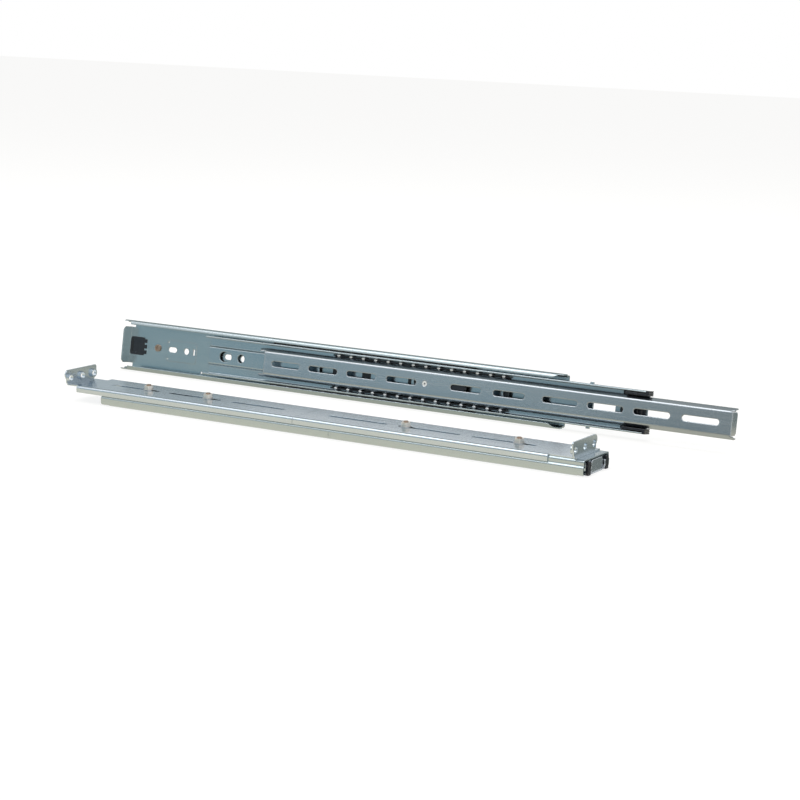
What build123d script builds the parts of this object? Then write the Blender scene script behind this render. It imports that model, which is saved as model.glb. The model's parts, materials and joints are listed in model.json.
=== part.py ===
from build123d import *
import math
import os

# A pair of sliding server rails, sizes in millimetres. Each rail is a three-section
# ball-bearing slide: an outer member that bolts to the rack, an intermediate member, and an
# inner member that bolts to the server. The right rail stands on edge, part way open.
# The left rail lies face down, closed, with its rack brackets on its back.
#
# A slide is modelled in its own frame: X runs from its rear end to its front end, Y is its
# height, measured from its middle line, and Z is its depth, from the back of the outer
# member's web towards the server. The slide is then turned and moved to where it stands.

# Slide, overall
SLIDE_LENGTH = 450.0
SLIDE_DEPTH = 12.7
SLIDE_HALF_HEIGHT = 22.85
SHEET = 1.2
STAGE_TRAVEL = 225.0
RIGHT_OPENING = 74.5
RUN_CLEARANCE = 0.03

# Balls and their pitch
OUTER_BALL_RADIUS = 2.38
INNER_BALL_RADIUS = 1.98
BALL_PITCH = 12.48
OUTER_BALLS_PER_SIDE = 16
INNER_BALLS_PER_SIDE = 14
POCKET_CLEARANCE = 0.04

# Outer member
OUTER_ROOT_HALF = 21.75
OUTER_FLARE_START = 4.6
OUTER_FLARE_END = 5.8
OUTER_LIP_INNER = 19.0
REAR_LIP_CUT = 8.0
FRONT_LIP_CUT = 11.0
FRONT_LIP_SLANT = 6.0
REAR_TAB_ROOT_HALF = 16.6
REAR_TAB_FREE_HALF = 14.1
REAR_TAB_DEPTH = 12.2
REAR_RELIEF_LENGTH = 5.5
REAR_RELIEF_WIDTH = 3.2
PAD_START = 43.0
PAD_LENGTH = 33.0
PAD_CENTRE = -1.0
PAD_HALF = 9.5
PAD_RISE = 0.6
PAD_HOLE_RADIUS = 0.8
PAD_HOLE_HALF_PITCH = 7.5
PAD_SLIT_X = 73.4
PAD_SLIT_LENGTH = 2.0
PAD_SLIT_WIDTH = 5.2
GAUGE_HOLE_X = 83.3
GAUGE_HOLE_Y = -17.3
GAUGE_HOLE_RADIUS = 1.0
NICK_START = 226.0
NICK_LENGTH = 2.5
NICK_DEPTH = 0.7
HOLE_PAIR_PITCH = 62.0
ROUND_HOLE_X = 65.1
ROUND_HOLE_RADIUS = 2.8
SHORT_SLOT_X = 49.8
SHORT_SLOT_LENGTH = 9.5
SHORT_SLOT_WIDTH = 4.6

# Studs that carry the brackets
STUD_POSITIONS = (33.0, 94.0, 284.0, 384.5)
STUD_RADIUS = 1.95
STUD_HOLE_RADIUS = 2.05
STUD_HEAD_RADIUS = 3.2
STUD_RECESS_RADIUS = 1.6
STUD_HEAD_HEIGHT = 1.1
STUD_END = 0.9
NUT_ACROSS_FLATS = 7.0
NUT_THICKNESS = 3.2
WASHER_RADIUS = 4.5
WASHER_THICKNESS = 0.8

# Intermediate member
MIDDLE_LENGTH = 432.0
MIDDLE_CLOSED_X = 17.5
MIDDLE_HALF = 17.5
MIDDLE_BACK = 2.0
MIDDLE_WAIST = 6.6
MIDDLE_TIP = 12.2
RAISED_HALF = 7.5
RAISED_RISE = 1.4
STOP_NUB_SET_BACK = 50.7
STOP_NUB_LENGTH = 3.0
STOP_NUB_HALF = 0.9
MIDDLE_REAR_SLOT = (18.2, 13.1, 9.0)
MIDDLE_REAR_HOLE = (35.0, 3.8)
ACCESS_WINDOW_SET_BACKS = (304.0, 208.0, 122.0)
LAST_WINDOW_SET_BACK = 38.5
ACCESS_WINDOW_LENGTH = 20.0
ACCESS_WINDOW_WIDTH = 8.5

# Inner member
INNER_LENGTH = 450.0
INNER_CLOSED_X = 2.0
INNER_FACE = 12.4
INNER_WEB_HALF = 9.6
INNER_HALF = 12.9
INNER_TIP = 4.7
INNER_WEB_REAR = 6.0
INNER_WEB_SET_BACK = 2.4
FRONT_TAB_HALF = 9.5
FRONT_TAB_FREE_HALF = 7.6
FRONT_TAB_DEPTH = 10.8
SLOT_WIDTH = 4.8
REAR_SLOT_LENGTH = 29.5
FRONT_SLOT_LENGTH = 32.0
REAR_SLOTS = (28.9, 67.5, 106.8, 146.8, 209.7, 250.5)
FRONT_SLOTS = (297.7, 338.8, 379.9, 422.0)

# Ball cages
OUTER_CAGE_LENGTH = 197.0
OUTER_CAGE_CLOSED_X = 127.5
OUTER_CAGE_WIDTH = 2.4
OUTER_CAGE_GAP = 0.3
OUTER_CAGE_FOOT = 4.9
OUTER_CAGE_SHOULDER = 10.9
OUTER_CAGE_TOP = 11.9
INNER_CAGE_LENGTH = 173.0
INNER_CAGE_CLOSED_X = 113.0
INNER_CAGE_SHEET = 0.5
INNER_CAGE_GAP = 0.2
INNER_CAGE_RAIL = 1.4
INNER_CAGE_TOP = 7.0
INNER_CAGE_WINDOW_HALF = 12.9
INNER_CAGE_WINDOWS = ((0.023, 0.173), (0.220, 0.439), (0.454, 0.717), (0.728, 0.977))

# Plastic bumpers and the release lever
REAR_BUMPER_START = 5.5
REAR_BUMPER_BODY = 11.5
REAR_BUMPER_ROOF = 3.2
REAR_BUMPER_PRONGS = 2.8
REAR_BUMPER_HALF = 8.2
REAR_BUMPER_TOP = 6.7
REAR_BUMPER_CORNER = 2.2
REAR_BUMPER_RUN_GAP = 0.3
REAR_BUMPER_ROOF_LAP = 3.0
REAR_BUMPER_PRONG_LAP = 1.0
REAR_BUMPER_MIDDLE_PRONG_HALF = 1.7
REAR_BUMPER_SIDE_PRONG = (3.4, 6.8)
REAR_BUMPER_SLIT_START = 1.6
REAR_BUMPER_SLIT_WIDTH = 1.6
REAR_BUMPER_SLIT_HALF = 6.0
FRONT_BUMPER_LENGTH = 22.0
FRONT_BUMPER_ARM_START = 5.0
FRONT_BUMPER_RIB = 0.5
FRONT_BUMPER_PROUD = 2.5
FRONT_BUMPER_SET_BACK = 1.0
FRONT_BUMPER_PLATE = 1.0
FRONT_BUMPER_RISER_GAP = 1.4
FRONT_BUMPER_RISER_WALL = 1.3
FRONT_BUMPER_FLOOR_GAP = 0.7
FRONT_BUMPER_ARM_GAP = 0.4
FRONT_BUMPER_WALL_GAP = 1.0
FRONT_BUMPER_GROOVES = 3
FRONT_BUMPER_GROOVE_PITCH = 4.0
FRONT_BUMPER_GROOVE_SET_BACK = 3.0
FRONT_BUMPER_GROOVE_WIDTH = 1.2
FRONT_BUMPER_GROOVE_REACH = 6.0
FRONT_BUMPER_GROOVE_DEPTH = 0.5
LEVER_PIVOT_X = 170.0
LEVER_NOSE_X = 196.0
LEVER_NOSE_LENGTH = 3.0
LEVER_TIP_REACH = 9.0
LEVER_ROOT_HALF = 4.4
LEVER_TIP_HALF = 3.4
LEVER_THICKNESS = 3.2
LEVER_PIN_RADIUS = 2.2
LEVER_PIN_BORE = 0.8
LEVER_PIN_HEAD = 3.2
LEVER_FACE_GAP = 0.2
LEVER_TIP_CORNER = 2.0
LEVER_RELIEF_START_GAP = 1.0
LEVER_RELIEF_END_GAP = 2.0
LEVER_RELIEF_HALF = 1.4
LEVER_RELIEF_FLOOR = 1.2
LEVER_PIN_CLEARANCE = 0.05
LEVER_PIN_SEAT_GAP = 0.1
LEVER_PIN_HEAD_HEIGHT = 0.9
LEVER_PIN_FLOOR = 0.6
NOSE_GAP = 1.1
CATCH_HALF = 1.5
CATCH_LENGTH = 3.0
CATCH_GAP = 0.4

# Rack brackets
BRACKET_SHEET = 1.2
BRACKET_GAP = 0.1
BRACKET_LIP_DEPTH = 5.5
BRACKET_BEND = 2.2
BRACKET_LIP_CUT_WIDTH = 2.6
BRACKET_JOIN_X = 192.0
BRACKET_SEAM = 0.3
REAR_FLANGE_X = -35.4
FRONT_FLANGE_X = 443.1
REAR_TONGUE_END = -22.0
REAR_TONGUE_EDGE = 14.6
REAR_LIP_START = -26.0
FRONT_LIP_END = 420.0
BRACKET_SLOT_WIDTH = 4.4
REAR_BRACKET_SLOTS = ((19.8, 49.6), (80.7, 52.4), (143.8, 52.4))
FRONT_BRACKET_SLOTS = ((239.7, 54.8), (305.0, 56.0), (371.4, 56.2))
RACK_HOLE_PITCH = 15.875
RACK_HOLE_RADIUS = 2.75
RACK_COLLAR_RADIUS = 3.5
RACK_COLLAR_HEIGHT = 2.0
FLANGE_CENTRE = 6.2
FLANGE_HALF = 21.0
FLANGE_WAIST_HALF = 19.2
FLANGE_FOOT_HALF = 17.0
FLANGE_RISE = 12.7
FLANGE_STEP_FOOT = 1.2
FLANGE_STEP_HEAD = 1.4
FLANGE_WIDE_CORNER = 4.0
FLANGE_TIGHT_CORNER = 1.8
RACK_HOLE_RISE = 6.0

# Where the right rail stands, from the near rear corner of the left rail
RIGHT_RAIL_SET_BACK = 164.35
RIGHT_RAIL_SHIFT = -94.0
RIGHT_RAIL_LEAN = 8.4

# Sizes that follow from the ones above
CURL_RADIUS = OUTER_BALL_RADIUS + RUN_CLEARANCE + SHEET
OUTER_BALL_Y = SLIDE_HALF_HEIGHT - CURL_RADIUS
OUTER_BALL_Z = SLIDE_DEPTH - CURL_RADIUS
INNER_BALL_Y = MIDDLE_HALF - SHEET - RUN_CLEARANCE - INNER_BALL_RADIUS
INNER_BALL_Z = 6.0
WALL_INNER = SLIDE_HALF_HEIGHT - SHEET
STOP_NUB_X = MIDDLE_LENGTH - STOP_NUB_SET_BACK
LAST_WINDOW_X = MIDDLE_LENGTH - LAST_WINDOW_SET_BACK
INNER_WEB_FRONT = INNER_LENGTH - INNER_WEB_SET_BACK
RAISED_BACK = MIDDLE_BACK + RAISED_RISE
RAISED_TOP = RAISED_BACK + SHEET
MIDDLE_SIDE_TOP = MIDDLE_BACK + SHEET
CAGE_BACK = MIDDLE_SIDE_TOP + INNER_CAGE_GAP
LEVER_TOP = INNER_FACE - SHEET - LEVER_FACE_GAP
LEVER_BOTTOM = LEVER_TOP - LEVER_THICKNESS
NOSE_BOTTOM = RAISED_TOP + NOSE_GAP
BUMPER_FLOOR_TOP = INNER_TIP - FRONT_BUMPER_FLOOR_GAP
BUMPER_ARM_INNER = INNER_HALF + FRONT_BUMPER_ARM_GAP
BUMPER_ARM_OUTER = MIDDLE_HALF - SHEET - FRONT_BUMPER_WALL_GAP
FRONT_BUMPER_X = MIDDLE_LENGTH - FRONT_BUMPER_SET_BACK - FRONT_BUMPER_LENGTH


def block(x0, x1, y0, y1, z0, z1):
    """A box between two corners."""
    return Pos((x0 + x1) / 2, (y0 + y1) / 2, (z0 + z1) / 2) * Box(x1 - x0, y1 - y0, z1 - z0)


def both_sides(x0, x1, y0, y1, z0, z1):
    """The same box above and below the slide's middle line."""
    return block(x0, x1, y0, y1, z0, z1) + block(x0, x1, -y1, -y0, z0, z1)


def round_cut(x, radius, z0, z1, y=0.0):
    """A round cutter along the depth of the slide."""
    return Pos(x, y, (z0 + z1) / 2) * Cylinder(radius, z1 - z0)


def slot_cut(x, length, width, z0, z1, y=0.0):
    """A cutter for a round-ended slot that runs along the slide."""
    return Pos(x, y, z0) * extrude(SlotOverall(length, width), amount=z1 - z0)


def folded_sheet(half, thickness, side, x0, x1):
    """A folded strip of sheet metal, with the same fold line on both sides of its middle.

    half lists the corners of one side from the web outwards, as (y, z, bend radius).
    """
    corners = [(-y, z) for y, z, bend in reversed(half)] + [(y, z) for y, z, bend in half]
    bends = [bend for y, z, bend in reversed(half)] + [bend for y, z, bend in half]
    fold = FilletPolyline(*corners, radius=bends[1:-1])
    outline = offset(fold, amount=thickness, side=side)
    section = make_face(outline.edges())
    return Pos(x0, 0, 0) * extrude(Plane.YZ * section, amount=x1 - x0)


def bent_tab(x0, thickness, root_half, free_half, z_root, z_free, shoulder):
    """A tab across the end of a member: straight sides, then chamfered to its free edge."""
    z_side = z_free - math.copysign(shoulder, z_free - z_root)
    outline = Polyline(
        (-root_half, z_root),
        (root_half, z_root),
        (root_half, z_side),
        (free_half, z_free),
        (-free_half, z_free),
        (-root_half, z_side),
        close=True,
    )
    return Pos(x0, 0, 0) * extrude(Plane.YZ * make_face(outline), amount=thickness)


def outer_section_corners():
    """Corners of the outer member's fold, from its web to the lip that holds the balls."""
    return [
        (OUTER_ROOT_HALF, 0.0, 2.0),
        (OUTER_ROOT_HALF, OUTER_FLARE_START, 1.5),
        (SLIDE_HALF_HEIGHT, OUTER_FLARE_END, 1.5),
        (SLIDE_HALF_HEIGHT, SLIDE_DEPTH, CURL_RADIUS),
        (OUTER_LIP_INNER, SLIDE_DEPTH, 0.0),
    ]


def front_lip_cut():
    """Cutters that slant the two ball lips back from the front end, and leave the side walls."""
    start = SLIDE_LENGTH - FRONT_LIP_CUT
    outline = Polyline(
        (start, OUTER_LIP_INNER - 0.5),
        (start + FRONT_LIP_SLANT, WALL_INNER),
        (SLIDE_LENGTH + 1.0, WALL_INNER),
        (SLIDE_LENGTH + 1.0, OUTER_LIP_INNER - 0.5),
        close=True,
    )
    upper = Pos(0, 0, OUTER_BALL_Z) * extrude(make_face(outline), amount=SLIDE_DEPTH)
    return upper + mirror(upper, about=Plane.XZ)


def mounting_pad():
    """The low pad pressed up from the outer member's web, and the hollow behind it."""
    end = PAD_START + PAD_LENGTH
    raised = block(PAD_START, end, -PAD_HALF, PAD_HALF, SHEET, SHEET + PAD_RISE)
    raised = fillet(raised.edges().filter_by(Axis.Z), 2.5)
    wall = SHEET
    hollow = block(PAD_START + wall, end - wall, wall - PAD_HALF, PAD_HALF - wall, -1.0, PAD_RISE)
    hollow = fillet(hollow.edges().filter_by(Axis.Z), 1.5)
    place = Pos(0, PAD_CENTRE, 0)
    return place * raised, place * hollow


def outer_member():
    """The cabinet member: a deep folded channel with a ball race along each side."""
    member = folded_sheet(outer_section_corners(), SHEET, Side.LEFT, 0.0, SLIDE_LENGTH)
    lips = OUTER_FLARE_END + 1.0
    reach = SLIDE_HALF_HEIGHT + 1.0
    member -= both_sides(
        -1.0, REAR_LIP_CUT, REAR_TAB_ROOT_HALF, WALL_INNER, lips, SLIDE_DEPTH + 1.0
    )
    member -= both_sides(
        -1.0,
        REAR_RELIEF_LENGTH,
        REAR_TAB_ROOT_HALF,
        REAR_TAB_ROOT_HALF + REAR_RELIEF_WIDTH,
        -1.0,
        SLIDE_DEPTH + 1.0,
    )
    member += bent_tab(
        0.0, SHEET, REAR_TAB_ROOT_HALF, REAR_TAB_FREE_HALF, 0.0, REAR_TAB_DEPTH, 3.0
    )
    member -= front_lip_cut()
    raised, hollow = mounting_pad()
    member = member + raised - hollow
    for pair in (0.0, HOLE_PAIR_PITCH):
        member -= slot_cut(SHORT_SLOT_X + pair, SHORT_SLOT_LENGTH, SHORT_SLOT_WIDTH, -1.0, 4.0)
        member -= round_cut(ROUND_HOLE_X + pair, ROUND_HOLE_RADIUS, -1.0, 4.0)
    slit_start = PAD_SLIT_X - PAD_SLIT_LENGTH / 2
    slit_half = PAD_SLIT_WIDTH / 2
    member -= block(slit_start, slit_start + PAD_SLIT_LENGTH, -slit_half, slit_half, -1.0, 4.0)
    for side in (1, -1):
        y = PAD_CENTRE + side * PAD_HOLE_HALF_PITCH
        member -= round_cut(PAD_START + 2 * PAD_HOLE_RADIUS, PAD_HOLE_RADIUS, -1.0, 4.0, y)
    member -= round_cut(GAUGE_HOLE_X, GAUGE_HOLE_RADIUS, -1.0, 4.0, GAUGE_HOLE_Y)
    for x in STUD_POSITIONS:
        member -= round_cut(x, STUD_HOLE_RADIUS, -1.0, 4.0)
    nick_end = NICK_START + NICK_LENGTH
    nick_floor = SLIDE_HALF_HEIGHT - NICK_DEPTH
    member -= both_sides(NICK_START, nick_end, nick_floor, reach, OUTER_FLARE_END + 1.0, SLIDE_DEPTH)
    return member


def middle_section_corners():
    """Corners of the intermediate member's fold, from its raised web to its grooved flange."""
    groove = OUTER_BALL_Y - OUTER_BALL_RADIUS - RUN_CLEARANCE - 0.13
    slope = RAISED_RISE / 2
    return [
        (RAISED_HALF - slope, RAISED_BACK, 0.5),
        (RAISED_HALF + slope, MIDDLE_BACK, 1.5),
        (MIDDLE_HALF, MIDDLE_BACK, 2.0),
        (MIDDLE_HALF, MIDDLE_WAIST, 1.5),
        (groove, OUTER_BALL_Z, 2.6),
        (MIDDLE_HALF, MIDDLE_TIP, 0.0),
    ]


def intermediate_member():
    """The middle member, which carries the outer balls outside and the inner balls inside."""
    member = folded_sheet(middle_section_corners(), SHEET, Side.LEFT, 0.0, MIDDLE_LENGTH)
    member -= slot_cut(*MIDDLE_REAR_SLOT, 0.0, 6.0)
    member -= round_cut(*MIDDLE_REAR_HOLE, 0.0, 6.0)
    for set_back in ACCESS_WINDOW_SET_BACKS:
        x = MIDDLE_LENGTH - set_back
        member -= slot_cut(x, ACCESS_WINDOW_LENGTH, ACCESS_WINDOW_WIDTH, 0.0, 6.0)
    window_half = ACCESS_WINDOW_LENGTH / 2
    member -= block(
        LAST_WINDOW_X - window_half,
        LAST_WINDOW_X + window_half,
        -ACCESS_WINDOW_WIDTH / 2,
        ACCESS_WINDOW_WIDTH / 2,
        0.0,
        6.0,
    )
    member += both_sides(
        STOP_NUB_X,
        STOP_NUB_X + STOP_NUB_LENGTH,
        MIDDLE_HALF - SHEET,
        OUTER_BALL_Y,
        OUTER_BALL_Z - STOP_NUB_HALF,
        OUTER_BALL_Z + STOP_NUB_HALF,
    )
    return member


def inner_section_corners():
    """Corners of the inner member's fold, from its face to the groove its balls run in."""
    groove = INNER_BALL_Y - INNER_BALL_RADIUS - RUN_CLEARANCE - 0.13
    return [
        (INNER_WEB_HALF, INNER_FACE, 1.8),
        (INNER_HALF, INNER_BALL_Z + 2.2, 1.6),
        (groove, INNER_BALL_Z, 2.2),
        (INNER_HALF - 0.3, INNER_TIP, 0.0),
    ]


def inner_member():
    """The chassis member, with the row of slots that the server's side bolts to."""
    member = folded_sheet(inner_section_corners(), SHEET, Side.RIGHT, 0.0, INNER_LENGTH)
    under = INNER_FACE - SHEET - 1.0
    over = INNER_FACE + 1.0
    web_half = INNER_WEB_HALF + 0.6
    member -= block(-1.0, INNER_WEB_REAR, -web_half, web_half, under, over)
    member -= block(INNER_WEB_FRONT, INNER_LENGTH + 1.0, -web_half, web_half, under, over)
    for x in REAR_SLOTS:
        member -= slot_cut(x, REAR_SLOT_LENGTH, SLOT_WIDTH, under, over)
    for x in FRONT_SLOTS:
        member -= slot_cut(x, FRONT_SLOT_LENGTH, SLOT_WIDTH, under, over)
    member -= round_cut(LEVER_PIVOT_X, LEVER_PIN_RADIUS, under, over)
    member += bent_tab(
        INNER_WEB_FRONT - SHEET,
        2 * SHEET,
        FRONT_TAB_HALF,
        FRONT_TAB_HALF,
        INNER_FACE,
        INNER_FACE - SHEET,
        0.1,
    )
    member += bent_tab(
        INNER_WEB_FRONT,
        SHEET,
        FRONT_TAB_HALF,
        FRONT_TAB_FREE_HALF,
        INNER_FACE,
        INNER_FACE - FRONT_TAB_DEPTH,
        2.0,
    )
    return member


def facet_ball(radius):
    """A ball in flat facets: three crossing octagonal bars, trimmed to reach the radius."""
    flat = radius / math.sqrt(1.0 + 2.0 * math.tan(math.pi / 8) ** 2)
    bar = extrude(RegularPolygon(flat, 8, major_radius=False), amount=radius, both=True)
    turned = Rot(0, 0, 22.5) * bar
    return turned & (Rot(90, 0, 0) * turned) & (Rot(0, 90, 0) * turned)


def ball_places(count, length, y, z):
    """Centres of the balls in one cage, a row on each side of the slide."""
    first = (length - (count - 1) * BALL_PITCH) / 2
    return [(first + index * BALL_PITCH, side * y, z) for side in (1, -1) for index in range(count)]


def ball_rows(count, length, radius, y, z):
    """All the balls of one cage, as separate solids."""
    ball = facet_ball(radius)
    return [Pos(*place) * ball for place in ball_places(count, length, y, z)]


def pocket_cuts(count, length, radius, y, z, depth):
    """Cross holes that the balls sit in."""
    bore = Rot(90, 0, 0) * Cylinder(radius + POCKET_CLEARANCE, depth)
    return [Pos(*place) * bore for place in ball_places(count, length, y, z)]


def outer_cages():
    """Two strips that keep the outer balls apart; a narrow roof covers the balls' open side."""
    inner_edge = MIDDLE_HALF + OUTER_CAGE_GAP
    outer_edge = inner_edge + OUTER_CAGE_WIDTH
    roof_edge = OUTER_LIP_INNER - OUTER_CAGE_GAP
    cuts = pocket_cuts(
        OUTER_BALLS_PER_SIDE, OUTER_CAGE_LENGTH, OUTER_BALL_RADIUS, OUTER_BALL_Y, OUTER_BALL_Z, 6.0
    )
    strips = both_sides(
        0.0, OUTER_CAGE_LENGTH, inner_edge, outer_edge, OUTER_CAGE_FOOT, OUTER_CAGE_SHOULDER
    )
    strips += both_sides(
        0.0, OUTER_CAGE_LENGTH, inner_edge, roof_edge, OUTER_CAGE_SHOULDER, OUTER_CAGE_TOP
    )
    return (strips - cuts).solids()


def inner_cage():
    """A thin ladder behind the inner member: a ball rail along each side, and five ties."""
    slope = RAISED_RISE / 2
    raised = RAISED_HALF + (SHEET + INNER_CAGE_GAP) * math.tan(math.pi / 8)
    rail_inner = INNER_BALL_Y - INNER_CAGE_RAIL / 2
    rail_outer = INNER_BALL_Y + INNER_CAGE_RAIL / 2
    fold = [
        (raised - slope, CAGE_BACK + RAISED_RISE, 0.6),
        (raised + slope, CAGE_BACK, 0.8),
        (rail_outer - 0.1, CAGE_BACK, 0.0),
    ]
    cage = folded_sheet(fold, INNER_CAGE_SHEET, Side.LEFT, 0.0, INNER_CAGE_LENGTH)
    cage += both_sides(0.0, INNER_CAGE_LENGTH, rail_inner, rail_outer, CAGE_BACK, INNER_CAGE_TOP)
    half = INNER_CAGE_WINDOW_HALF
    for start, end in INNER_CAGE_WINDOWS:
        x0 = start * INNER_CAGE_LENGTH
        x1 = end * INNER_CAGE_LENGTH
        cage -= block(x0, x1, -half, half, CAGE_BACK - 1.0, CAGE_BACK + 4.0)
    for cut in pocket_cuts(
        INNER_BALLS_PER_SIDE, INNER_CAGE_LENGTH, INNER_BALL_RADIUS, INNER_BALL_Y, INNER_BALL_Z, 4.0
    ):
        cage -= cut
    return cage


def rear_bumper():
    """The black catch on the outer member's web that the two moving members close against."""
    body_end = REAR_BUMPER_START + REAR_BUMPER_BODY
    body = block(REAR_BUMPER_START, body_end, -REAR_BUMPER_HALF, REAR_BUMPER_HALF, SHEET, REAR_BUMPER_TOP)
    body = fillet(body.edges().filter_by(Axis.Z), REAR_BUMPER_CORNER)
    floor = RAISED_TOP + REAR_BUMPER_RUN_GAP
    roof_end = body_end + REAR_BUMPER_ROOF
    prong_end = roof_end + REAR_BUMPER_PRONGS
    half = REAR_BUMPER_HALF
    body += block(body_end - REAR_BUMPER_ROOF_LAP, roof_end, -half, half, floor, REAR_BUMPER_TOP)
    prong_start = roof_end - REAR_BUMPER_PRONG_LAP
    middle = REAR_BUMPER_MIDDLE_PRONG_HALF
    body += block(prong_start, prong_end, -middle, middle, floor, REAR_BUMPER_TOP)
    body += both_sides(prong_start, prong_end, *REAR_BUMPER_SIDE_PRONG, floor, REAR_BUMPER_TOP)
    slit_start = REAR_BUMPER_START + REAR_BUMPER_SLIT_START
    slit_end = slit_start + REAR_BUMPER_SLIT_WIDTH
    slit_half = REAR_BUMPER_SLIT_HALF
    body -= block(slit_start, slit_end, -slit_half, slit_half, SHEET, REAR_BUMPER_TOP + 1.0)
    return body


def front_bumper():
    """The black stop in the front end of the intermediate member, with an arm on each side."""
    start = FRONT_BUMPER_X
    end = start + FRONT_BUMPER_LENGTH
    arm_end = MIDDLE_LENGTH + FRONT_BUMPER_PROUD
    riser_inner = RAISED_HALF + FRONT_BUMPER_RISER_GAP
    riser_outer = riser_inner + FRONT_BUMPER_RISER_WALL
    plate_top = RAISED_TOP + FRONT_BUMPER_PLATE
    stop = block(start, end, -riser_outer, riser_outer, RAISED_TOP, plate_top)
    stop += both_sides(start, end, riser_inner, riser_outer, MIDDLE_SIDE_TOP, plate_top)
    stop += both_sides(start, end, riser_inner, BUMPER_ARM_OUTER, MIDDLE_SIDE_TOP, BUMPER_FLOOR_TOP)
    arm_start = start + FRONT_BUMPER_ARM_START
    stop += both_sides(
        arm_start, arm_end, BUMPER_ARM_INNER, BUMPER_ARM_OUTER, MIDDLE_SIDE_TOP, MIDDLE_TIP
    )
    stop += both_sides(
        MIDDLE_LENGTH, arm_end, BUMPER_ARM_INNER, MIDDLE_HALF, MIDDLE_BACK, MIDDLE_TIP
    )
    rib = FRONT_BUMPER_RIB
    for y in (BUMPER_ARM_INNER + 2 * rib, MIDDLE_HALF - 3 * rib):
        stop -= both_sides(arm_end - rib, arm_end + 1.0, y, y + rib, 0.0, SLIDE_DEPTH)
    catch_end = start + CATCH_LENGTH
    stop += block(start, catch_end, -CATCH_HALF, CATCH_HALF, plate_top, LEVER_BOTTOM - CATCH_GAP)
    reach = FRONT_BUMPER_GROOVE_REACH
    groove_half = FRONT_BUMPER_GROOVE_WIDTH / 2
    groove_floor = plate_top - FRONT_BUMPER_GROOVE_DEPTH
    for index in range(FRONT_BUMPER_GROOVES):
        x = end - FRONT_BUMPER_GROOVE_SET_BACK - index * FRONT_BUMPER_GROOVE_PITCH
        stop -= block(x - groove_half, x + groove_half, -reach, reach, groove_floor, plate_top + 1.0)
    return stop


def release_lever():
    """The black lever behind the inner member; its nose is what stops the member coming out."""
    nose_end = LEVER_NOSE_X + LEVER_NOSE_LENGTH
    tip = nose_end + LEVER_TIP_REACH
    outline = Polyline(
        (LEVER_PIVOT_X, -LEVER_ROOT_HALF),
        (tip - LEVER_TIP_CORNER, -LEVER_TIP_HALF),
        (tip, LEVER_TIP_CORNER - LEVER_TIP_HALF),
        (tip, LEVER_TIP_HALF - LEVER_TIP_CORNER),
        (tip - LEVER_TIP_CORNER, LEVER_TIP_HALF),
        (LEVER_PIVOT_X, LEVER_ROOT_HALF),
        close=True,
    )
    lever = Pos(0, 0, LEVER_BOTTOM) * extrude(make_face(outline), amount=LEVER_THICKNESS)
    lever += round_cut(LEVER_PIVOT_X, LEVER_ROOT_HALF, LEVER_BOTTOM, LEVER_TOP)
    lever += block(LEVER_NOSE_X, nose_end, -CATCH_HALF, CATCH_HALF, NOSE_BOTTOM, LEVER_BOTTOM)
    relief_start = LEVER_PIVOT_X + LEVER_ROOT_HALF + LEVER_RELIEF_START_GAP
    relief_end = LEVER_NOSE_X - LEVER_RELIEF_END_GAP
    relief_half = LEVER_RELIEF_HALF
    relief_floor = LEVER_BOTTOM + LEVER_RELIEF_FLOOR
    lever -= block(relief_start, relief_end, -relief_half, relief_half, relief_floor, LEVER_TOP + 1.0)
    bore = LEVER_PIN_RADIUS + LEVER_PIN_CLEARANCE
    lever -= round_cut(LEVER_PIVOT_X, bore, LEVER_BOTTOM - 1.0, LEVER_TOP + 1.0)
    return lever


def lever_pin():
    """The hollow rivet that the release lever turns on, flush with the inner member's face."""
    under = LEVER_BOTTOM - LEVER_PIN_SEAT_GAP
    pin = round_cut(LEVER_PIVOT_X, LEVER_PIN_RADIUS, under, INNER_FACE)
    pin += round_cut(LEVER_PIVOT_X, LEVER_PIN_HEAD, under - LEVER_PIN_HEAD_HEIGHT, under)
    return pin - round_cut(LEVER_PIVOT_X, LEVER_PIN_BORE, under + LEVER_PIN_FLOOR, INNER_FACE + 1.0)


def bracket_studs(packing):
    """The four studs through the outer member's web; packing is what they clamp behind it."""
    tail = packing + WASHER_THICKNESS + NUT_THICKNESS + STUD_END
    studs = []
    for x in STUD_POSITIONS:
        stud = round_cut(x, STUD_RADIUS, -tail, SHEET)
        head = round_cut(x, STUD_HEAD_RADIUS, SHEET, SHEET + STUD_HEAD_HEIGHT)
        head -= round_cut(x, STUD_RECESS_RADIUS, SHEET + 0.3, SHEET + STUD_HEAD_HEIGHT + 1.0)
        studs.append(stud + head)
    return studs


def stud_washers(packing):
    """One washer on each stud."""
    ring = Cylinder(WASHER_RADIUS, WASHER_THICKNESS) - Cylinder(STUD_HOLE_RADIUS, 2.0)
    return [Pos(x, 0, -packing - WASHER_THICKNESS / 2) * ring for x in STUD_POSITIONS]


def stud_nuts(packing):
    """One hexagon nut on each stud, with its corners eased."""
    seat = packing + WASHER_THICKNESS
    body = extrude(RegularPolygon(NUT_ACROSS_FLATS / 2, 6, major_radius=False), amount=NUT_THICKNESS)
    eased = Pos(0, 0, NUT_THICKNESS / 2) * Cylinder(NUT_ACROSS_FLATS * 0.56, NUT_THICKNESS)
    nut = (body & eased) - Pos(0, 0, NUT_THICKNESS / 2) * Cylinder(STUD_HOLE_RADIUS, NUT_THICKNESS + 1.0)
    return [Pos(x, 0, -seat - NUT_THICKNESS) * nut for x in STUD_POSITIONS]


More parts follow.
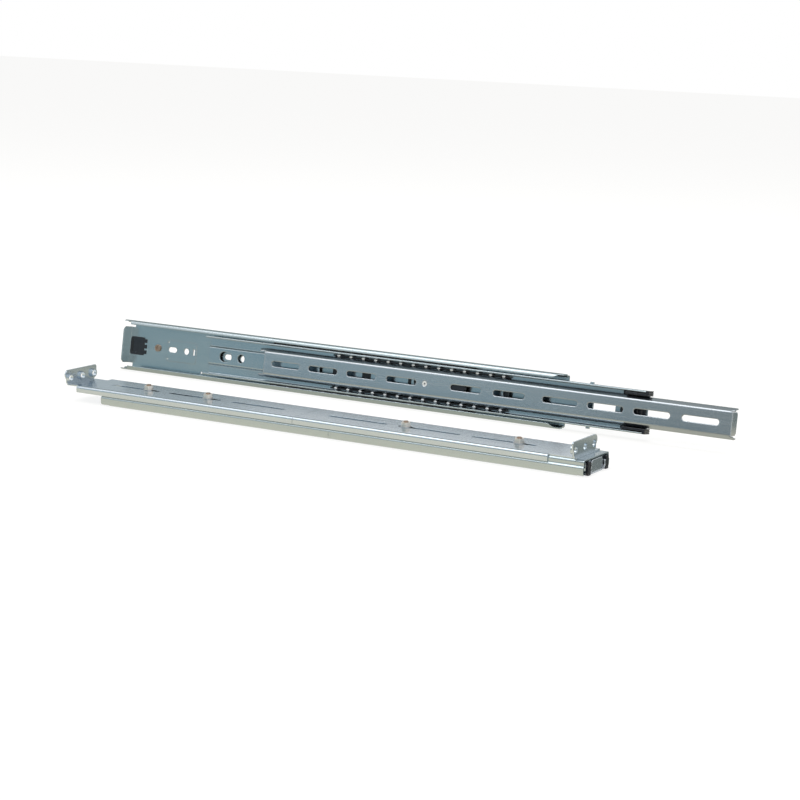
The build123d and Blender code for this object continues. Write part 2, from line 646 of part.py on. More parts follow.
def bracket_plate(x0, x1, lip_start, lip_end, slots):
    """A bracket's plate on the back of the slide, with a short lip along each edge."""
    half = OUTER_ROOT_HALF + BRACKET_GAP + BRACKET_SHEET
    fold = [
        (half, -BRACKET_SHEET, BRACKET_BEND),
        (half, BRACKET_LIP_DEPTH - BRACKET_SHEET, 0.0),
    ]
    plate = folded_sheet(fold, BRACKET_SHEET, Side.LEFT, x0, x1)
    reach = half + 1.0
    edge = half - BRACKET_LIP_CUT_WIDTH
    for start, end in ((x0 - 1.0, lip_start), (lip_end, x1 + 1.0)):
        if end - start > 1.01:
            plate -= both_sides(start, end, edge, reach, -BRACKET_SHEET - 1.0, BRACKET_LIP_DEPTH)
    for centre, length in slots:
        plate -= slot_cut(centre, length, BRACKET_SLOT_WIDTH, -BRACKET_SHEET - 1.0, 1.0)
    return plate


def rack_flange(x, direction):
    """The upstand that bolts to the rack post; direction is +1 where the post is in front."""
    top = -BRACKET_SHEET - FLANGE_RISE
    hole_z = -BRACKET_SHEET - RACK_HOLE_RISE
    right_side = [
        (FLANGE_FOOT_HALF, -BRACKET_SHEET / 2),
        (FLANGE_WAIST_HALF, hole_z / 2),
        (FLANGE_WAIST_HALF, hole_z + FLANGE_STEP_FOOT),
        (FLANGE_HALF, hole_z - FLANGE_STEP_HEAD),
        (FLANGE_HALF, top),
    ]
    left_side = [(-y, z) for y, z in reversed(right_side)]
    outline = Polyline(*right_side, *left_side, close=True)
    flange = extrude(Plane.YZ * make_face(outline), amount=-direction * BRACKET_SHEET)
    wide_end = -1 if direction < 0 else 0
    for end, radius in ((wide_end, FLANGE_WIDE_CORNER), (-1 - wide_end, FLANGE_TIGHT_CORNER)):
        top_corners = flange.edges().filter_by(Axis.X).group_by(Axis.Z)[0].sort_by(Axis.Y)
        flange = fillet(top_corners[end], radius)
    collar = Rot(0, 90, 0) * Cylinder(RACK_COLLAR_RADIUS, RACK_COLLAR_HEIGHT)
    collar_x = -direction * (BRACKET_SHEET + RACK_COLLAR_HEIGHT / 2)
    bore = Rot(0, 90, 0) * Cylinder(RACK_HOLE_RADIUS, 4 * (BRACKET_SHEET + RACK_COLLAR_HEIGHT))
    for index in (-1, 0, 1):
        place = Pos(0, index * RACK_HOLE_PITCH, hole_z)
        flange += Pos(collar_x, 0, 0) * place * collar
        flange -= place * bore
    return Pos(x, FLANGE_CENTRE, 0) * flange


def rear_bracket():
    """The long rear bracket: plate, narrow tongue and rack flange in one folded piece."""
    bracket = bracket_plate(
        REAR_FLANGE_X, BRACKET_JOIN_X, REAR_LIP_START, BRACKET_JOIN_X, REAR_BRACKET_SLOTS
    )
    tongue = REAR_TONGUE_END
    reach = OUTER_ROOT_HALF + 4.0
    bracket -= block(REAR_FLANGE_X - 1.0, tongue, -reach, -REAR_TONGUE_EDGE, -3.0, 6.0)
    return bracket + rack_flange(REAR_FLANGE_X, -1)


def front_bracket():
    """The front bracket, whose lips stop short of its rack flange."""
    start = BRACKET_JOIN_X + BRACKET_SEAM
    bracket = bracket_plate(
        start, FRONT_FLANGE_X, start, FRONT_LIP_END, FRONT_BRACKET_SLOTS
    )
    return bracket + rack_flange(FRONT_FLANGE_X, 1)


def slide_pieces(opening, packing):
    """Every piece of one slide, with each stage pulled out by the same opening."""
    middle_x = MIDDLE_CLOSED_X + opening
    inner_x = INNER_CLOSED_X + 2 * opening
    outer_cage_x = OUTER_CAGE_CLOSED_X + opening / 2
    inner_cage_x = INNER_CAGE_CLOSED_X + opening * 1.5
    outer_balls = ball_rows(
        OUTER_BALLS_PER_SIDE, OUTER_CAGE_LENGTH, OUTER_BALL_RADIUS, OUTER_BALL_Y, OUTER_BALL_Z
    )
    inner_balls = ball_rows(
        INNER_BALLS_PER_SIDE, INNER_CAGE_LENGTH, INNER_BALL_RADIUS, INNER_BALL_Y, INNER_BALL_Z
    )
    return {
        "outer_member": (0.0, [outer_member()]),
        "rear_bumper": (0.0, [rear_bumper()]),
        "bracket_studs": (0.0, bracket_studs(packing)),
        "stud_washers": (0.0, stud_washers(packing)),
        "stud_nuts": (0.0, stud_nuts(packing)),
        "outer_cages": (outer_cage_x, outer_cages()),
        "outer_balls": (outer_cage_x, outer_balls),
        "intermediate_member": (middle_x, [intermediate_member()]),
        "front_bumper": (middle_x, [front_bumper()]),
        "inner_cage": (inner_cage_x, [inner_cage()]),
        "inner_balls": (inner_cage_x, inner_balls),
        "inner_member": (inner_x, [inner_member()]),
        "lever_pin": (inner_x, [lever_pin()]),
        "release_lever": (inner_x, [release_lever()]),
    }


def placed(pieces, place, prefix):
    """The pieces of one rail, moved to where the rail stands."""
    nodes = {}
    for name, (x, solids) in pieces.items():
        moved = [place * Pos(x, 0, 0) * piece for piece in solids]
        nodes[prefix + name] = Compound(children=[solid for piece in moved for solid in piece.solids()])
    return nodes


def left_rail():
    """The left rail: closed, face down, its back and its two brackets on top."""
    pieces = slide_pieces(0.0, BRACKET_SHEET)
    pieces["rear_bracket"] = (0.0, [rear_bracket()])
    pieces["front_bracket"] = (0.0, [front_bracket()])
    place = Pos(0, SLIDE_HALF_HEIGHT, SLIDE_DEPTH) * Rot(180, 0, 0)
    return placed(pieces, place, "left_")


def right_rail():
    """The right rail: part way open, standing on its lower edge and leaning back."""
    turn = Rot(90 - RIGHT_RAIL_LEAN, 0, 0)
    foot = (turn * outer_member()).bounding_box().min.Z
    place = Pos(RIGHT_RAIL_SHIFT, RIGHT_RAIL_SET_BACK, -foot) * turn
    return placed(slide_pieces(RIGHT_OPENING, 0.0), place, "right_")


def main():
    """Builds both rails, centres them on their footprint and writes one file for each node."""
    nodes = {**left_rail(), **right_rail()}
    boxes = [node.bounding_box() for node in nodes.values()]
    centre_x = (min(box.min.X for box in boxes) + max(box.max.X for box in boxes)) / 2
    centre_y = (min(box.min.Y for box in boxes) + max(box.max.Y for box in boxes)) / 2
    os.makedirs("parts", exist_ok=True)
    for name, node in nodes.items():
        export_step(Pos(-centre_x, -centre_y, 0) * node, f"parts/{name}.step")


main()
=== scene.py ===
"""Looks for a pair of sliding server rails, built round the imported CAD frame.

The sheet metal, plastic and fasteners keep their CAD shapes and get procedural finishes here.
The bearing balls are faceted solids in the frame, so each row is replaced by smooth balls that
Geometry Nodes lay out on the same centres.
"""

import json
import logging
import math
from dataclasses import dataclass, field
from enum import Enum
from typing import Optional, Sequence, Union

import bpy
from mathutils import Matrix, Vector

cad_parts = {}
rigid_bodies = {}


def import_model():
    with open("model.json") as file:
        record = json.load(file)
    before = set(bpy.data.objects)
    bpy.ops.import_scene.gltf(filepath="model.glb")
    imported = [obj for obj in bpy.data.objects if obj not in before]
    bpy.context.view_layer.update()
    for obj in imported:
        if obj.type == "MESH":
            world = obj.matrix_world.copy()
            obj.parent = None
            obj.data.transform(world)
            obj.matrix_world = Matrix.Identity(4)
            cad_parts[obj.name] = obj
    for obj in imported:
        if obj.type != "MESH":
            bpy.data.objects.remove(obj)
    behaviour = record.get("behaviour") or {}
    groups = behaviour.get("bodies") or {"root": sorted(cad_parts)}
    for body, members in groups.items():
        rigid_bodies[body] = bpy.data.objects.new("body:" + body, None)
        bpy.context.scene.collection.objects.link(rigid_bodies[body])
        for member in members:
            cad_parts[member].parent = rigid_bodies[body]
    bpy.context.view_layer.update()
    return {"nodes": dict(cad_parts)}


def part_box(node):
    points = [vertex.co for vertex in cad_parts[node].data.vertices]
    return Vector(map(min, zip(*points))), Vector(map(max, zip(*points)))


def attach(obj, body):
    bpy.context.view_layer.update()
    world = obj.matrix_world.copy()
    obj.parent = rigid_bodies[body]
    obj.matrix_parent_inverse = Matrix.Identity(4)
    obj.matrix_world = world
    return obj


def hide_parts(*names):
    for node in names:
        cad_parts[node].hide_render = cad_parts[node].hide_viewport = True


LOG = logging.getLogger("server_rails")

MM = 0.001
WHITE = (1.0, 1.0, 1.0)

# The Mix node has sockets for each data type; these are its colour ones.
MIX_FACTOR, MIX_FIRST, MIX_SECOND = 0, 6, 7
MIX_RESULT = 2
BEVEL_SAMPLES = 6
NOISE_MIDDLE = 0.5

Colour = tuple[float, float, float]
Point = tuple[float, float, float]


class Rail(Enum):
    """The two rails of the pair."""

    RIGHT = "right_"
    LEFT = "left_"


# From one row of balls to the other, on each rail as it lies; the right rail leans back.
RIGHT_LEAN = math.radians(8.4)
ROW_DIRECTIONS = {
    Rail.RIGHT: Vector((0.0, math.sin(RIGHT_LEAN), math.cos(RIGHT_LEAN))),
    Rail.LEFT: Vector((0.0, -1.0, 0.0)),
}

# Each cage's balls: the piece, the body it rides on, the balls in a row, and the radius. The radii
# are 0.02 mm under the spheres that hold the faceted solids' corners.
BALL_PITCH = 12.48 * MM
BALL_SETS = (
    ("outer_balls", "outer_ball_train", 16, 2.36 * MM),
    ("inner_balls", "inner_ball_train", 14, 1.96 * MM),
)


class Wrap:
    """A shader socket that adds its own Math nodes when Python arithmetic is used on it."""

    def __init__(self, tree: "ShaderTree", socket: bpy.types.NodeSocket) -> None:
        """Keeps the tree and the socket.

        Args:
            tree: The tree that new nodes go into.
            socket: The output socket that stands for this value.
        """
        self.tree = tree
        self.socket = socket

    def _math(self, operation: str, first: "Value", second: "Value") -> "Wrap":
        """Adds one Math node.

        Args:
            operation: The node's operation.
            first: Its first input.
            second: Its second input.

        Returns:
            The node's result.
        """
        return self.tree.add("ShaderNodeMath", {"operation": operation}, {0: first, 1: second})

    def __add__(self, other: "Value") -> "Wrap":
        """Returns the sum."""
        return self._math("ADD", self, other)

    def __radd__(self, other: "Value") -> "Wrap":
        """Returns the sum."""
        return self._math("ADD", other, self)

    def __sub__(self, other: "Value") -> "Wrap":
        """Returns the difference."""
        return self._math("SUBTRACT", self, other)

    def __mul__(self, other: "Value") -> "Wrap":
        """Returns the product."""
        return self._math("MULTIPLY", self, other)

    def clamp(self) -> "Wrap":
        """Returns this value held between 0 and 1."""
        return self._math("MINIMUM", self._math("MAXIMUM", self, 0.0), 1.0)


Value = Union[Wrap, float, Sequence[float]]


class ShaderTree:
    """One material's node tree, with a single method that adds any node."""

    def __init__(self, name: str) -> None:
        """Starts an empty material.

        Args:
            name: The material's name.
        """
        self.material = bpy.data.materials.new(name)
        self.material.use_nodes = True
        self.tree = self.material.node_tree
        self.tree.nodes.clear()

    def add(self, kind: str, settings: Optional[dict] = None, inputs: Optional[dict] = None,
            output: Union[int, str] = 0) -> Wrap:
        """Adds a node, sets its settings first and then its sockets.

        Args:
            kind: The node's type.
            settings: Attributes of the node.
            inputs: Values or wrapped sockets by input index or name.
            output: The output to return.

        Returns:
            The chosen output, wrapped. A node without outputs gives a wrapped None.
        """
        node = self.tree.nodes.new(kind)
        for key, value in (settings or {}).items():
            setattr(node, key, value)
        for key, value in (inputs or {}).items():
            socket = node.inputs[key]
            if isinstance(value, Wrap):
                self.tree.links.new(value.socket, socket)
            else:
                socket.default_value = value
        return Wrap(self, node.outputs[output] if node.outputs else None)

    def place(self) -> Wrap:
        """Returns the point on the object, in metres."""
        return self.add("ShaderNodeTexCoord", output="Object")

    def stretched(self, vector: Wrap, scale: Sequence[float]) -> Wrap:
        """Returns the vector scaled along each axis."""
        return self.add("ShaderNodeMapping", inputs={"Vector": vector, "Scale": scale})

    def noise(self, vector: Wrap, scale: float, detail: float = 2.0, roughness: float = 0.5) -> Wrap:
        """Adds a noise texture.

        Args:
            vector: Where it is read.
            scale: Its scale, in cells per unit of the vector.
            detail: Its octaves.
            roughness: How strong the finer octaves are.

        Returns:
            Its value, from about 0 to 1.
        """
        inputs = {"Vector": vector, "Scale": scale, "Detail": detail, "Roughness": roughness}
        return self.add("ShaderNodeTexNoise", inputs=inputs)

    def blend(self, factor: Wrap, first: Sequence[float], second: Sequence[float]) -> Wrap:
        """Mixes two colours.

        Args:
            factor: 0 gives the first colour and 1 the second.
            first: An RGBA colour.
            second: An RGBA colour.

        Returns:
            The mixed colour.
        """
        inputs = {MIX_FACTOR: factor, MIX_FIRST: first, MIX_SECOND: second}
        return self.add("ShaderNodeMix", {"data_type": "RGBA"}, inputs, MIX_RESULT)

    def bump(self, height: Wrap, strength: float, distance: float, edge: float) -> Wrap:
        """Adds a Bump node that reads a height, over edges that are shaded round.

        Args:
            height: The height.
            strength: How much of the bump is used.
            distance: The bump's depth, in metres.
            edge: The radius that the piece's sharp edges are shaded with, in metres.

        Returns:
            The bumped normal.
        """
        inputs = {"Height": height, "Strength": strength, "Distance": distance}
        inputs["Normal"] = self.add("ShaderNodeBevel", {"samples": BEVEL_SAMPLES}, {"Radius": edge})
        return self.add("ShaderNodeBump", inputs=inputs)

    def finish(self, inputs: dict) -> bpy.types.Material:
        """Adds the surface shader and the output.

        Args:
            inputs: The shader's values or wrapped sockets by name.

        Returns:
            The finished material.
        """
        shader = self.add("ShaderNodeBsdfPrincipled", inputs=inputs)
        self.add("ShaderNodeOutputMaterial", inputs={"Surface": shader})
        return self.material


def rgba(red: float, green: float, blue: float) -> tuple[float, float, float, float]:
    """Returns an opaque colour."""
    return (red, green, blue, 1.0)


@dataclass(frozen=True)
class ZincSheet:
    """Bright zinc plate on rolled steel strip: a fine grain along the strip and a faint mottle.

    Attributes:
        name: The material's name.
        tint: Its colour, in the middle between light and dark.
        roughness: Its middle roughness.
        grain: How far the grain changes the roughness.
        mottle: How far the colour goes to light and to dark, as a share.
        edge: The radius that sharp edges are shaded with, in metres.
        relief: The bump's strength.
        cloudy: How far the mottle changes the roughness.
        grain_cells: The grain's cells per metre along each axis; the strip runs along X.
        cloud_cells: The mottle's cells per metre along each axis.
        speck_cells: The specks' cells per metre.
        cloud_shade: The mottle's share in the colour.
        grain_shade: The grain's share in the colour.
        grain_height: The grain's share in the bump.
        speck_height: The specks' share in the bump.
        depth: The bump's depth, in metres.
    """

    name: str
    tint: Colour
    roughness: float = 0.24
    grain: float = 0.08
    mottle: float = 0.07
    edge: float = 0.00035
    relief: float = 0.06
    cloudy: float = 0.10
    grain_cells: Point = (5.0, 700.0, 700.0)
    cloud_cells: Point = (9.0, 60.0, 60.0)
    speck_cells: float = 900.0
    cloud_shade: float = 0.7
    grain_shade: float = 0.3
    grain_height: float = 0.85
    speck_height: float = 0.15
    depth: float = 0.00005

    def build(self) -> bpy.types.Material:
        """Returns the material."""
        tree = ShaderTree(self.name)
        place = tree.place()
        lines = tree.noise(tree.stretched(place, self.grain_cells), 1.0)
        cloud = tree.noise(tree.stretched(place, self.cloud_cells), 1.0, detail=3.0)
        speck = tree.noise(place, self.speck_cells)
        light = rgba(*(min(1.0, c * (1.0 + self.mottle)) for c in self.tint))
        dark = rgba(*(c * (1.0 - self.mottle) for c in self.tint))
        shade = (cloud * self.cloud_shade + lines * self.grain_shade).clamp()
        colour = tree.blend(shade, dark, light)
        grainy = (lines - NOISE_MIDDLE) * self.grain
        rough = self.roughness + grainy + (cloud - NOISE_MIDDLE) * self.cloudy
        height = lines * self.grain_height + speck * self.speck_height
        return tree.finish({
            "Base Color": colour,
            "Metallic": 1.0,
            "Roughness": rough.clamp(),
            "Normal": tree.bump(height, self.relief, self.depth, self.edge),
        })


@dataclass(frozen=True)
class MouldedPlastic:
    """Black moulded plastic with a fine spark-eroded surface.

    Attributes:
        name: The material's name.
        tint: Its darkest colour.
        roughness: Its middle roughness.
        edge: The radius that sharp edges are shaded with, in metres.
        fine_cells: The spark finish's cells per metre.
        wide_cells: The cells per metre of the slow change in shade.
        pale_gain: What the darkest colour is multiplied by for the palest.
        pale_lift: What is then added to it.
        pale_share: How much of the palest colour shows.
        uneven: How far the roughness changes.
        relief: The bump's strength.
        depth: The bump's depth, in metres.
    """

    name: str
    tint: Colour = (0.010, 0.012, 0.017)
    roughness: float = 0.24
    edge: float = 0.0009
    fine_cells: float = 2600.0
    wide_cells: float = 160.0
    pale_gain: float = 1.9
    pale_lift: float = 0.006
    pale_share: float = 0.8
    uneven: float = 0.2
    relief: float = 0.15
    depth: float = 0.00004

    def build(self) -> bpy.types.Material:
        """Returns the material."""
        tree = ShaderTree(self.name)
        place = tree.place()
        fine = tree.noise(place, self.fine_cells, roughness=0.6)
        wide = tree.noise(place, self.wide_cells, detail=3.0)
        pale = rgba(*(c * self.pale_gain + self.pale_lift for c in self.tint))
        colour = tree.blend((wide * self.pale_share).clamp(), rgba(*self.tint), pale)
        rough = self.roughness + (wide - NOISE_MIDDLE) * self.uneven
        return tree.finish({
            "Base Color": colour,
            "Roughness": rough.clamp(),
            "Normal": tree.bump(fine, self.relief, self.depth, self.edge),
        })


@dataclass(frozen=True)
class PolishedBall:
    """Polished bearing steel with a thin film of grease.

    Attributes:
        name: The material's name.
        tint: The bare steel's colour.
        film_cells: The film's cells per metre.
        film_shade: What the film leaves of the colour.
        roughness: The bare steel's roughness.
        film_roughness: What the film adds to it.
    """

    name: str = "polished_ball"
    tint: Colour = (0.78, 0.79, 0.81)
    film_cells: float = 500.0
    film_shade: float = 0.86
    roughness: float = 0.08
    film_roughness: float = 0.14

    def build(self) -> bpy.types.Material:
        """Returns the material."""
        tree = ShaderTree(self.name)
        place = tree.place()
        film = tree.noise(place, self.film_cells)
        grey = rgba(*(c * self.film_shade for c in self.tint))
        return tree.finish({
            "Base Color": tree.blend(film, rgba(*self.tint), grey),
            "Metallic": 1.0,
            "Roughness": (self.roughness + film * self.film_roughness).clamp(),
        })


@dataclass(frozen=True)
class PlatedFastener:
    """Plated screw stock: slightly uneven plate, rougher than the sheet.

    Attributes:
        name: The material's name.
        tint: The plate's colour.
        second: Its colour in the worn patches.
        roughness: Its middle roughness.
        patch_cells: The patches' cells per metre.
        speck_cells: The specks' cells per metre.
        patch_gain: How sharply the patches stand out.
        patch_cut: How much of the plate stays without patches.
        uneven: How far the patches change the roughness.
        relief: The bump's strength.
        depth: The bump's depth, in metres.
        edge: The radius that sharp edges are shaded with, in metres.
    """

    name: str
    tint: Colour
    second: Colour
    roughness: float = 0.32
    patch_cells: float = 420.0
    speck_cells: float = 2400.0
    patch_gain: float = 1.6
    patch_cut: float = 0.3
    uneven: float = 0.25
    relief: float = 0.10
    depth: float = 0.00004
    edge: float = 0.00025

    def build(self) -> bpy.types.Material:
        """Returns the material."""
        tree = ShaderTree(self.name)
        place = tree.place()
        patch = tree.noise(place, self.patch_cells, detail=3.0, roughness=0.6)
        speck = tree.noise(place, self.speck_cells, roughness=0.6)
        worn = (patch * self.patch_gain - self.patch_cut).clamp()
        return tree.finish({
            "Base Color": tree.blend(worn, rgba(*self.tint), rgba(*self.second)),
            "Metallic": 1.0,
            "Roughness": (self.roughness + (patch - NOISE_MIDDLE) * self.uneven).clamp(),
            "Normal": tree.bump(speck, self.relief, self.depth, self.edge),
        })


Finish = Union[ZincSheet, MouldedPlastic, PolishedBall, PlatedFastener]

ZINC_OUTER = ZincSheet("zinc_outer", (0.45, 0.52, 0.55), edge=0.0008)
ZINC_MIDDLE = ZincSheet("zinc_middle", (0.45, 0.52, 0.56), roughness=0.22, edge=0.0009)
ZINC_INNER = ZincSheet("zinc_inner", (0.50, 0.54, 0.58), roughness=0.26, edge=0.0013)
ZINC_BRACKET = ZincSheet("zinc_bracket", (0.54, 0.61, 0.67), relief=0.015)
BLACK_PLASTIC = MouldedPlastic("black_plastic")
BALL_STEEL = PolishedBall()
STUD_PLATE = PlatedFastener("stud_plate", (0.50, 0.36, 0.27), (0.34, 0.26, 0.22))
PIN_PLATE = PlatedFastener("pin_plate", (0.93, 0.94, 0.95), (0.84, 0.85, 0.87), roughness=0.60)
WASHER_PLATE = PlatedFastener("washer_plate", (0.56, 0.57, 0.56), (0.48, 0.49, 0.50))
NUT_PLATE = PlatedFastener("nut_plate", (0.86, 0.82, 0.76), (0.76, 0.71, 0.65))


@dataclass
class Finishes:
    """Which finish each kind of piece gets.

    Attributes:
        by_piece: The finish for each kind of CAD piece; the balls aren't in it, as they are replaced.
        built: The materials made so far, by name.
    """

    by_piece: dict[str, Finish] = field(default_factory=lambda: {
        "outer_member": ZINC_OUTER,
        "intermediate_member": ZINC_MIDDLE,
        "inner_member": ZINC_INNER,
        "outer_cages": BLACK_PLASTIC,
        "inner_cage": BLACK_PLASTIC,
        "rear_bumper": BLACK_PLASTIC,
        "front_bumper": BLACK_PLASTIC,
        "release_lever": BLACK_PLASTIC,
        "lever_pin": PIN_PLATE,
        "bracket_studs": STUD_PLATE,
        "stud_washers": WASHER_PLATE,
        "stud_nuts": NUT_PLATE,
        "rear_bracket": ZINC_BRACKET,
        "front_bracket": ZINC_BRACKET,
    })
    built: dict[str, bpy.types.Material] = field(default_factory=dict)

    def material(self, finish: Finish) -> bpy.types.Material:
        """Returns the finish's material, built once.

        Args:
            finish: The finish.

        Returns:
            The material.
        """
        if finish.name not in self.built:
            self.built[finish.name] = finish.build()
        return self.built[finish.name]


@dataclass
class RailDress:
    """One rail's CAD pieces, which keep their shapes and get their finishes.

    Attributes:
        rail: The rail.
        nodes: The CAD objects of both rails, by name.
        finishes: The finishes.
        unmirrored: Kinds of pieces that the metal doesn't reflect, as in the photograph.
    """

    rail: Rail
    nodes: dict[str, bpy.types.Object]
    finishes: Finishes
    unmirrored: tuple[str, ...] = ("rear_bumper",)

    def dress(self) -> None:
        """Gives every CAD piece of this rail its finish."""
        for name, piece in self.nodes.items():
            if not name.startswith(self.rail.value):
                continue
            kind = name[len(self.rail.value):]
            finish = self.finishes.by_piece.get(kind)
            if finish is None:
                continue
            material = self.finishes.material(finish)
            piece.data.materials.clear()
            piece.data.materials.append(material)
            piece.visible_glossy = kind not in self.unmirrored
            LOG.info("%s wears %s", name, finish.name)


@dataclass
class BallRows:
    """The two rows of balls of one ball cage, laid out by Geometry Nodes.

    Attributes:
        rail: The rail.
        nodes: The CAD objects, by name.
        kind: The piece's name without its rail.
        body: The body that the balls ride on.
        count: The balls in each row.
        pitch: The step from ball to ball, in metres.
        radius: A ball's radius, in metres.
        finishes: The finishes.
        segments: The steps round each ball.
        rings: The steps from pole to pole.
    """

    rail: Rail
    nodes: dict[str, bpy.types.Object]
    kind: str
    body: str
    count: int
    pitch: float
    radius: float
    finishes: Finishes
    segments: int = 28
    rings: int = 16

    def _tree(self) -> bpy.types.GeometryNodeTree:
        """Returns a tree that sets balls at equal steps along X, one row in each input point.

        Returns:
            The tree, with Count, Pitch and Radius as its inputs.
        """
        tree = bpy.data.node_groups.new(f"{self.rail.value}{self.kind}_rows", "GeometryNodeTree")
        face = tree.interface
        sockets = {"Geometry": "Geometry", "Count": "Int", "Pitch": "Float", "Radius": "Float"}
        for name, kind in sockets.items():
            face.new_socket(name, in_out="INPUT", socket_type=f"NodeSocket{kind}")
        face.new_socket("Geometry", in_out="OUTPUT", socket_type="NodeSocketGeometry")
        nodes, links = tree.nodes, tree.links
        entry, leave = nodes.new("NodeGroupInput"), nodes.new("NodeGroupOutput")
        line = nodes.new("GeometryNodeMeshLine")
        step = nodes.new("ShaderNodeCombineXYZ")
        links.new(entry.outputs["Pitch"], step.inputs["X"])
        links.new(entry.outputs["Count"], line.inputs["Count"])
        links.new(step.outputs[0], line.inputs["Offset"])
        rows = nodes.new("GeometryNodeInstanceOnPoints")
        links.new(entry.outputs["Geometry"], rows.inputs["Points"])
        links.new(line.outputs[0], rows.inputs["Instance"])
        spread = nodes.new("GeometryNodeRealizeInstances")
        links.new(rows.outputs[0], spread.inputs[0])
        ball = nodes.new("GeometryNodeMeshUVSphere")
        ball.inputs["Segments"].default_value = self.segments
        ball.inputs["Rings"].default_value = self.rings
        links.new(entry.outputs["Radius"], ball.inputs["Radius"])
        balls = nodes.new("GeometryNodeInstanceOnPoints")
        links.new(spread.outputs[0], balls.inputs["Points"])
        links.new(ball.outputs["Mesh"], balls.inputs["Instance"])
        smooth = nodes.new("GeometryNodeSetShadeSmooth")
        real = nodes.new("GeometryNodeRealizeInstances")
        paint = nodes.new("GeometryNodeSetMaterial")
        paint.inputs["Material"].default_value = self.finishes.material(BALL_STEEL)
        links.new(balls.outputs[0], real.inputs[0])
        links.new(real.outputs[0], smooth.inputs[0])
        links.new(smooth.outputs[0], paint.inputs[0])
        links.new(paint.outputs[0], leave.inputs[0])
        return tree

    def build(self) -> bpy.types.Object:
        """Makes the balls where the CAD node has them.

        Returns:
            The finished piece.
        """
        node = f"{self.rail.value}{self.kind}"
        low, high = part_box(node)
        low, high = Vector(low), Vector(high)
        centre = (low + high) / 2
        source = bpy.data.meshes.new(f"{node}_starts")
        source.from_pydata(self._row_starts(node, centre), [], [])
        rig = bpy.data.objects.new(f"{node}_rig", source)
        bpy.context.scene.collection.objects.link(rig)
        modifier = rig.modifiers.new("rows", "NODES")
        modifier.node_group = self._tree()
        sizes = {"Count": self.count, "Pitch": self.pitch, "Radius": self.radius}
        for item in modifier.node_group.interface.items_tree:
            if item.in_out == "INPUT" and item.name in sizes:
                modifier[item.identifier] = sizes[item.name]
        graph = bpy.context.evaluated_depsgraph_get()
        mesh = bpy.data.meshes.new_from_object(rig.evaluated_get(graph))
        bpy.data.objects.remove(rig)
        piece = bpy.data.objects.new(f"{node}_smooth", mesh)
        bpy.context.scene.collection.objects.link(piece)
        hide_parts(node)
        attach(piece, self.body)
        LOG.info("%s: %d balls in each row", node, self.count)
        return piece

    def _row_starts(self, node: str, centre: Vector) -> list[Point]:
        """Finds the first ball's centre in each row from the faceted solids.

        Args:
            node: The CAD node.
            centre: The middle of its box.

        Returns:
            One point for each of the two rows.
        """
        across = ROW_DIRECTIONS[self.rail]
        points = [v.co for v in self.nodes[node].data.vertices]
        starts = []
        for side in (1.0, -1.0):
            row = [p for p in points if (p - centre).dot(across) * side > 0.0]
            middle = Vector((0.0, 0.0, 0.0))
            for axis in range(3):
                values = [p[axis] for p in row]
                middle[axis] = (min(values) + max(values)) / 2
            middle.x -= (self.count - 1) * self.pitch / 2
            starts.append(tuple(middle))
        return starts


FLOOR_GAP = 0.0005


def level(west: float, east: float, near: float, far: float) -> list[Point]:
    """Returns the corners of a rectangle that lies just over the floor.

    Args:
        west: Its lower x.
        east: Its upper x.
        near: Its lower y.
        far: Its upper y.

    Returns:
        Its four corners.
    """
    return [
        (west, near, FLOOR_GAP),
        (east, near, FLOOR_GAP),
        (east, far, FLOOR_GAP),
        (west, far, FLOOR_GAP),
    ]


def upright(west: float, east: float, away: float, low: float, high: float) -> list[Point]:
    """Returns the corners of an upright rectangle that faces along Y.

    Args:
        west: Its lower x.
        east: Its upper x.
        away: Its y.
        low: Its lower z.
        high: Its upper z.

    Returns:
        Its four corners.
    """
    return [(west, away, low), (east, away, low), (east, away, high), (west, away, high)]


@dataclass(frozen=True)
class Lamp:
    """A soft rectangular lamp that points at the rails.

    Attributes:
        name: The lamp's name.
        place: Where it hangs.
        size: Its width and height, in metres.
        power: Its power, in watts.
        tint: Its colour.
        mirrored: Whether the metal shows it.
    """

    name: str
    place: Point
    size: tuple[float, float]
    power: float
    tint: Colour = WHITE
    mirrored: bool = True


@dataclass(frozen=True)
class Card:
    """A coloured card that only shows in the metal's reflections.

    Attributes:
        name: The card's name.
        tint: Its colour.
        corners: Its four corners, in metres.
    """

    name: str
    tint: Colour
    corners: list[Point]


LAMP_TARGET = (0.0, 0.0, 0.02)
LAMPS = (
    Lamp("key", place=(-0.5, -0.9, 1.9), size=(2.0, 1.1), power=13.0),
    Lamp("top", place=(0.1, 0.9, 1.9), size=(2.6, 1.0), power=14.0, tint=(0.95, 0.98, 1.0), mirrored=False),
)

# The upright cards behind the camera stand in one plane and meet at two edges.
BACKDROP_Y = -2.6
BACKDROP_TOP = 1.1
FRONT_END_WEST = -1.02
FRONT_END_EAST = 0.3
# The cards on the floor meet at the left rail's front end and at the right rail's two long sides.
LEFT_RAIL_FRONT = 0.2465
RIGHT_RAIL_NEAR = 0.045
RIGHT_RAIL_FAR = 0.16
